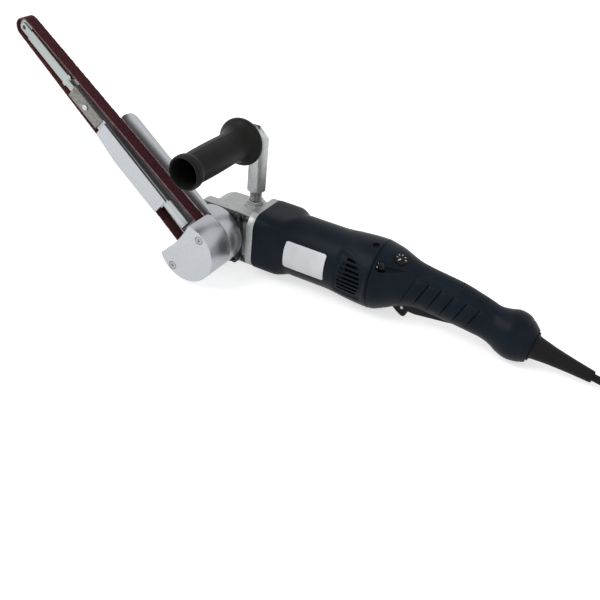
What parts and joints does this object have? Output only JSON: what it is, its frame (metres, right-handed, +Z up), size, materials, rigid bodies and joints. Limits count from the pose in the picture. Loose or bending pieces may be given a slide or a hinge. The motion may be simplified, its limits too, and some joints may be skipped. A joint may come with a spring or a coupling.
{
  "type": "belt power file",
  "caption": "Hand-held electric belt file: motor body with rear handle, right-angle gear head, side grip and a long swivelling arm that carries a narrow abrasive belt.",
  "frame": {"origin": "middle of the tool's box in plan, at the level of the surface that it lies on, the cord left out", "axes": "+X along the motor toward the cord, +Z up, -Y the side that the belt head is on"},
  "size_m": [0.7879, 0.2185, 0.2093],
  "materials": {
    "cast_alloy": "cast, matt",
    "plate_dark": "satin",
    "screw_steel": "blackened",
    "bearing_steel": "ground",
    "bronze": "plain",
    "housing_plastic": "fine grain",
    "core_steel": "laminated",
    "copper": "enamelled wire",
    "black_plastic": "fine grain",
    "carbon": "pressed",
    "label": "bare plate",
    "steel": "ground",
    "boot_rubber": "matt",
    "cord_jacket": "matt",
    "stud_steel": "turned",
    "bracket_steel": "plated",
    "grip_plastic": "fine grain",
    "hub_alloy": "turned",
    "tyre_rubber": "ground",
    "alloy": "blasted",
    "abrasive": "coated grit"
  },
  "bodies": {
    "motor_body": {"gear_housing": "cast_alloy", "bearing_plate": "plate_dark", "bearing_plate_screws": "screw_steel", "spindle_bearing": "bearing_steel", "spindle_bush": "bronze", "flange_screws": "screw_steel", "motor_housing": "housing_plastic", "stator_core": "core_steel", "field_coils": "copper", "front_bearing": "bearing_steel", "rear_bearing": "bearing_steel", "bearing_bracket": "black_plastic", "brush_holders": "bronze", "carbon_brushes": "carbon", "label_plate": "label", "handle_shell_far": "housing_plastic", "handle_shell_near": "housing_plastic", "handle_screws": "screw_steel", "switch_unit": "black_plastic", "speed_module": "black_plastic", "paddle_pin": "steel", "cord_boot": "boot_rubber", "cord_lead": "cord_jacket", "cord_coil": "cord_jacket", "coil_tie": "black_plastic", "plug_body": "cord_jacket", "plug_pins": "steel", "handle_stud": "stud_steel", "stud_nut": "steel", "handle_bracket": "bracket_steel", "side_grip": "grip_plastic", "grip_bolt": "screw_steel"},
    "spindle": {"spindle": "steel", "bevel_gear": "steel", "drive_hub": "hub_alloy", "drive_tyre": "tyre_rubber", "wheel_nut": "steel"},
    "armature": {"armature_shaft": "steel", "armature_core": "core_steel", "commutator": "copper", "cooling_fan": "black_plastic", "bevel_pinion": "steel"},
    "belt_head": {"clamp_ring": "alloy", "clamp_screw": "screw_steel", "drive_cover": "alloy", "cover_screws": "bearing_steel", "arm_bar": "alloy", "arm_screws": "screw_steel", "arm_guard": "alloy", "guide_plate": "steel", "guide_screw": "screw_steel", "abrasive_belt": "abrasive", "tension_spring": "steel"},
    "tension": {"contact_arm": "steel", "idler_pin": "steel"},
    "idler": {"idler_roller": "steel"},
    "paddle": {"paddle": "black_plastic", "catch_pin": "steel"},
    "catch": {"lock_catch": "black_plastic"},
    "dial": {"speed_dial": "black_plastic"}
  },
  "joints": [
    {"name": "armature_spin", "type": "hinge", "parent": "motor_body", "child": "armature", "pos_m": [-0.00219, 0.0445, 0.03549], "axis": [1, 0, 0], "continuous": true},
    {"name": "spindle_spin", "type": "hinge", "parent": "motor_body", "child": "spindle", "pos_m": [-0.08219, 0.0045, 0.03549], "axis": [0, 1, 0], "continuous": true},
    {"name": "arm_swivel", "type": "hinge", "parent": "motor_body", "child": "belt_head", "pos_m": [-0.08219, 0.0045, 0.03549], "axis": [0, 1, 0], "range_deg": [-40, 30]},
    {"name": "tension_slide", "type": "slide", "parent": "belt_head", "child": "tension", "axis": [0.7815, 0, -0.6239], "range_m": [0, 0.005], "stiffness_N_per_m": 1500, "springref_m": -0.01},
    {"name": "idler_spin", "type": "hinge", "parent": "tension", "child": "idler", "pos_m": [-0.28851, -0.0115, 0.20019], "axis": [0, 1, 0], "continuous": true},
    {"name": "paddle_press", "type": "hinge", "parent": "motor_body", "child": "paddle", "pos_m": [0.16681, 0.0445, 0.02099], "axis": [0, 1, 0], "range_deg": [0, 5], "stiffness_Nm_per_rad": 1.5, "springref_deg": -8.59},
    {"name": "catch_turn", "type": "hinge", "parent": "paddle", "child": "catch", "pos_m": [0.11481, 0.0445, 0.01299], "axis": [0, -1, 0], "range_deg": [0, 20], "stiffness_Nm_per_rad": 0.05, "springref_deg": -11.46},
    {"name": "dial_turn", "type": "hinge", "parent": "motor_body", "child": "dial", "pos_m": [0.10481, 0.0369, 0.06035], "axis": [0.3746, -0.2711, 0.8867], "range_deg": [-140, 140]}
  ],
  "couplings": [
    {"joint": "spindle_spin", "follows": "armature_spin", "ratio": 0.33333},
    {"joint": "idler_spin", "follows": "armature_spin", "ratio": 0.72917}
  ]
}
